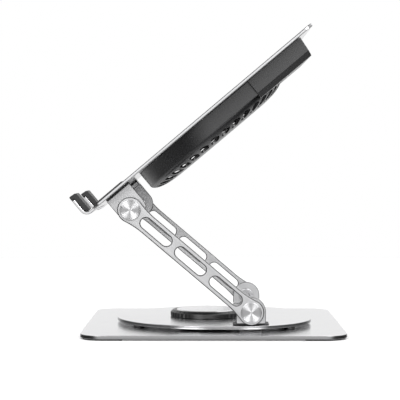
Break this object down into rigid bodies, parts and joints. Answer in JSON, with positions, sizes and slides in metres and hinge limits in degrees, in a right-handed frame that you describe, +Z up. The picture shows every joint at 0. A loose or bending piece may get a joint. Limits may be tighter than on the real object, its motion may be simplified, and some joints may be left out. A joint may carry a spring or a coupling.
{
  "type": "laptop stand",
  "caption": "Folding aluminium laptop stand on a swivel base, with slotted lift arms, a tilted platform with padded lip hooks and a cooling fan in a round housing.",
  "frame": {"origin": "on the table under the turntable's axis, at the middle of the stand's own box seen from above", "axes": "+Z is up, -Y faces the user (the lip hooks), +X runs to the user's right along every hinge axis"},
  "size_m": [0.2416, 0.254, 0.2853],
  "materials": {
    "anodised_aluminium": "fine bead-blasted and anodised, satin",
    "arm_aluminium": "bead-blasted and anodised, satin, slightly darker",
    "turned_aluminium": "spun face with fine turning rings",
    "black_steel": "blackened steel",
    "steel": "zinc-plated steel",
    "black_plastic": "satin moulded ABS with a fine grain",
    "dark_plastic": "matt moulded nylon",
    "silicone": "matt black silicone",
    "circuit_board": "green solder mask"
  },
  "bodies": {
    "base": {"base_plate": "anodised_aluminium", "foot_front_left": "silicone", "foot_front_right": "silicone", "foot_rear_left": "silicone", "foot_rear_right": "silicone", "spindle_bolt": "black_steel", "spindle_nut": "black_steel", "bearing_lower_race": "black_steel"},
    "ball_cage": {"bearing_balls": "black_steel"},
    "turntable": {"turntable_plate": "anodised_aluminium", "glide_pad_front_left": "dark_plastic", "glide_pad_front_right": "dark_plastic", "glide_pad_rear_left": "dark_plastic", "glide_pad_rear_right": "dark_plastic", "bearing_upper_race": "black_steel", "hub_collar": "dark_plastic", "hub_cap": "anodised_aluminium", "lower_bracket_left": "arm_aluminium", "lower_bracket_right": "arm_aluminium", "lower_gasket_left": "silicone", "lower_gasket_right": "silicone", "lower_studs_left": "steel", "lower_studs_right": "steel", "lower_pin_left": "steel", "lower_pin_right": "steel", "lower_nut_left": "steel", "lower_nut_right": "steel", "lower_washer_left": "dark_plastic", "lower_washer_right": "dark_plastic"},
    "arms": {"arm_left": "arm_aluminium", "arm_right": "arm_aluminium", "hinge_cap_lower_left": "turned_aluminium", "hinge_cap_lower_right": "turned_aluminium", "hinge_cap_upper_left": "turned_aluminium", "hinge_cap_upper_right": "turned_aluminium"},
    "upper_hinge": {"upper_pin_left": "steel", "upper_pin_right": "steel", "upper_nut_left": "steel", "upper_nut_right": "steel", "upper_washer_left": "dark_plastic", "upper_washer_right": "dark_plastic"},
    "platform": {"platform_plate": "anodised_aluminium", "lip_pad_left": "silicone", "lip_pad_right": "silicone", "top_pad_left": "silicone", "top_pad_right": "silicone", "upper_flange_left": "arm_aluminium", "upper_flange_right": "arm_aluminium", "upper_gasket_left": "silicone", "upper_gasket_right": "silicone", "upper_studs_left": "steel", "upper_studs_right": "steel", "fan_shroud": "black_plastic", "rear_box": "black_plastic", "fan_frame": "dark_plastic", "motor_stator": "steel", "circuit_board": "circuit_board", "power_socket": "steel"},
    "impeller": {"impeller": "dark_plastic"},
    "button": {"speed_button": "dark_plastic"}
  },
  "joints": [
    {"name": "swivel", "type": "hinge", "parent": "base", "child": "turntable", "pos_m": [0, 0, 0], "axis": [0, 0, 1], "continuous": true},
    {"name": "cage_roll", "type": "hinge", "parent": "base", "child": "ball_cage", "pos_m": [0, 0, 0], "axis": [0, 0, 1], "continuous": true},
    {"name": "arm_lift", "type": "hinge", "parent": "turntable", "child": "arms", "pos_m": [0, 0.0405, 0.0224], "axis": [1, 0, 0], "range_deg": [-50, 40]},
    {"name": "upper_hinge_turn", "type": "hinge", "parent": "arms", "child": "upper_hinge", "pos_m": [0, -0.06971, 0.11586], "axis": [1, 0, 0], "range_deg": [-40, 50]},
    {"name": "platform_tilt", "type": "hinge", "parent": "upper_hinge", "child": "platform", "pos_m": [0, -0.06971, 0.11586], "axis": [1, 0, 0], "range_deg": [-40, 15]},
    {"name": "fan_spin", "type": "hinge", "parent": "platform", "child": "impeller", "pos_m": [0, 0.01161, 0.18433], "axis": [0, -0.6441, 0.7649], "continuous": true},
    {"name": "button_press", "type": "slide", "parent": "platform", "child": "button", "axis": [0, -0.7649, -0.6441], "range_m": [0, 0.001], "stiffness_N_per_m": 400}
  ],
  "couplings": [
    {"joint": "cage_roll", "follows": "swivel", "ratio": 0.5},
    {"joint": "upper_hinge_turn", "follows": "arm_lift", "ratio": -1}
  ]
}
